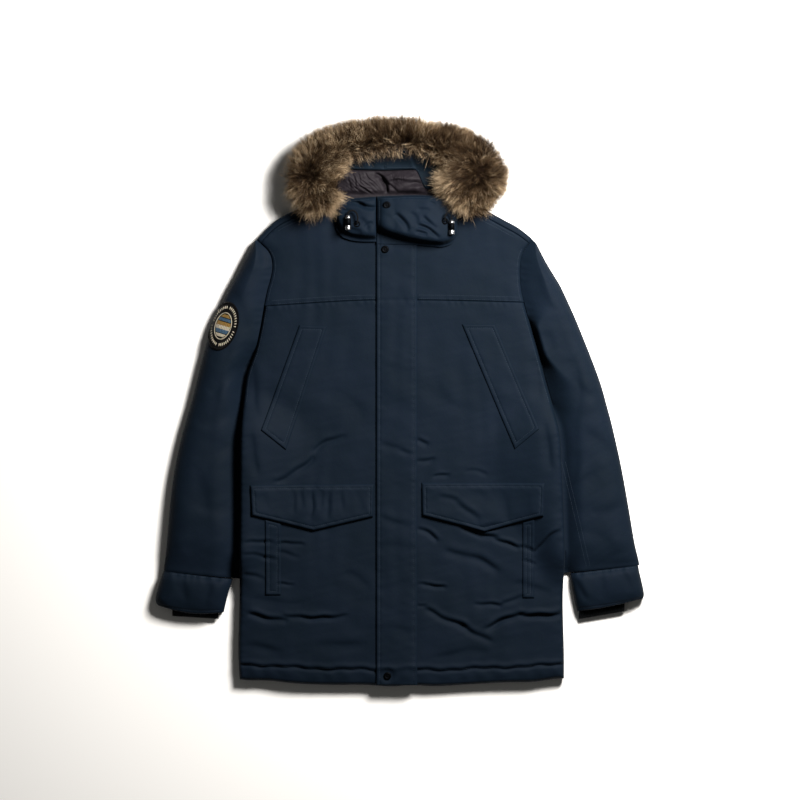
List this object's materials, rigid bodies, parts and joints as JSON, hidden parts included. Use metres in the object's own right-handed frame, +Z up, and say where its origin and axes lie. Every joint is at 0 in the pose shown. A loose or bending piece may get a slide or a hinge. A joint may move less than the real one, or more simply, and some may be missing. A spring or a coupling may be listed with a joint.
{
  "type": "fur trimmed parka",
  "caption": "Padded hip-length parka laid flat on its back, sleeves tucked at its sides, with a storm flap, flap pockets, knitted inner cuffs and a fur trimmed hood.",
  "frame": {"origin": "on the surface the parka lies on, under the middle of its box", "axes": "+Y from the hem to the hood, +X to the wearer's left side, +Z up out of the front"},
  "size_m": [0.8475, 0.9869, 0.0959],
  "materials": {
    "shell_cloth": "matt navy polyester microfibre",
    "rib_knit": "black rib knit",
    "lining_cloth": "purple-grey satin-faced nylon, gathered",
    "fur": "long-pile imitation fur, brown with pale tips",
    "embroidery": "embroidered patch with a merrowed edge",
    "dark_metal": "dark nickel plate",
    "bright_metal": "satin nickel plate",
    "cord": "round braided elastic cord"
  },
  "bodies": {
    "root": {"back_panel": "shell_cloth", "front_right": "shell_cloth", "front_left": "shell_cloth", "yoke_right": "shell_cloth", "yoke_left": "shell_cloth", "storm_flap": "shell_cloth", "chest_welt_right": "shell_cloth", "chest_welt_left": "shell_cloth", "pocket_flap_right": "shell_cloth", "pocket_flap_left": "shell_cloth", "side_welt_right": "shell_cloth", "side_welt_left": "shell_cloth", "sleeve_right": "shell_cloth", "sleeve_left": "shell_cloth", "cuff_right": "shell_cloth", "cuff_left": "shell_cloth", "knit_cuff_right": "rib_knit", "knit_cuff_left": "rib_knit", "collar_right": "shell_cloth", "collar_left": "shell_cloth", "sleeve_badge": "embroidery", "hood_shell": "shell_cloth", "hood_facing": "shell_cloth", "hood_lining": "lining_cloth", "fur_ruff": "fur", "snap_collar": "dark_metal", "snap_neck": "dark_metal", "snap_hem": "dark_metal", "eyelet_right": "dark_metal", "eyelet_left": "dark_metal", "cord_right": "cord", "cord_left": "cord", "cord_stopper_right": "bright_metal", "cord_stopper_left": "bright_metal"}
  },
  "joints": []
}
